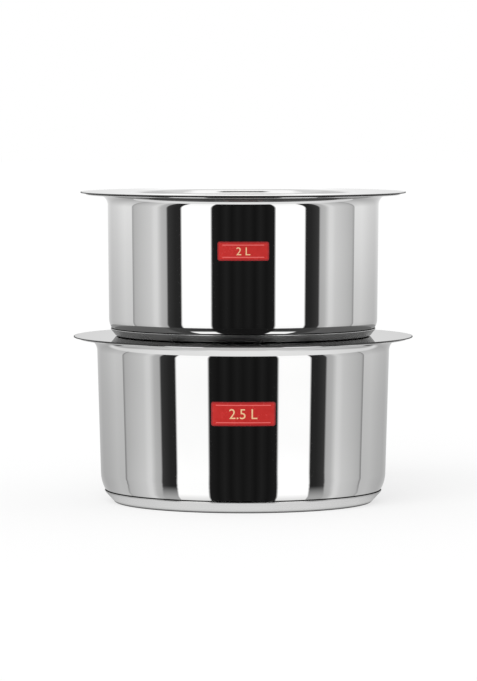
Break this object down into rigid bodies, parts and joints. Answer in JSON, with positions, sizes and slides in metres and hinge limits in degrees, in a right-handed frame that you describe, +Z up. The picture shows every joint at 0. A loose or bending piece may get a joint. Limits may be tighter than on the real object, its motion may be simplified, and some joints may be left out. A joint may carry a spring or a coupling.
{
  "type": "cooking pot set with lids",
  "caption": "Stacked handle-less polished steel cooking pots with flared rims, thick capped bases and flat pressed lids that lift off.",
  "frame": {"origin": "centre of the lower pot's standing face", "axes": "+Z up along the shared axis of both pots and lids, -Y out of the side that carries the labels, +X to the right seen from that side"},
  "size_m": [0.217, 0.217, 0.1983],
  "materials": {
    "polished_steel": "mirror polished stainless steel",
    "base_steel": "polished rim, circular brushed underside",
    "plain_aluminium": "plain rolled aluminium",
    "red_label": "gloss printed vinyl"
  },
  "bodies": {
    "lower_pot": {"lower_pot_body": "polished_steel", "lower_heat_disc": "plain_aluminium", "lower_base_cap": "base_steel", "lower_label": "red_label"},
    "lower_lid": {"lower_lid": "polished_steel"},
    "upper_pot": {"upper_pot_body": "polished_steel", "upper_heat_disc": "plain_aluminium", "upper_base_cap": "base_steel", "upper_label": "red_label"},
    "upper_lid": {"upper_lid": "polished_steel"}
  },
  "joints": [
    {"name": "lower_lid_lift", "type": "slide", "parent": "lower_pot", "child": "lower_lid", "axis": [0, 0, 1], "range_m": [0, 0.12]},
    {"name": "upper_pot_lift", "type": "slide", "parent": "lower_lid", "child": "upper_pot", "axis": [0, 0, 1], "range_m": [0, 0.12]},
    {"name": "upper_lid_lift", "type": "slide", "parent": "upper_pot", "child": "upper_lid", "axis": [0, 0, 1], "range_m": [0, 0.12]}
  ]
}
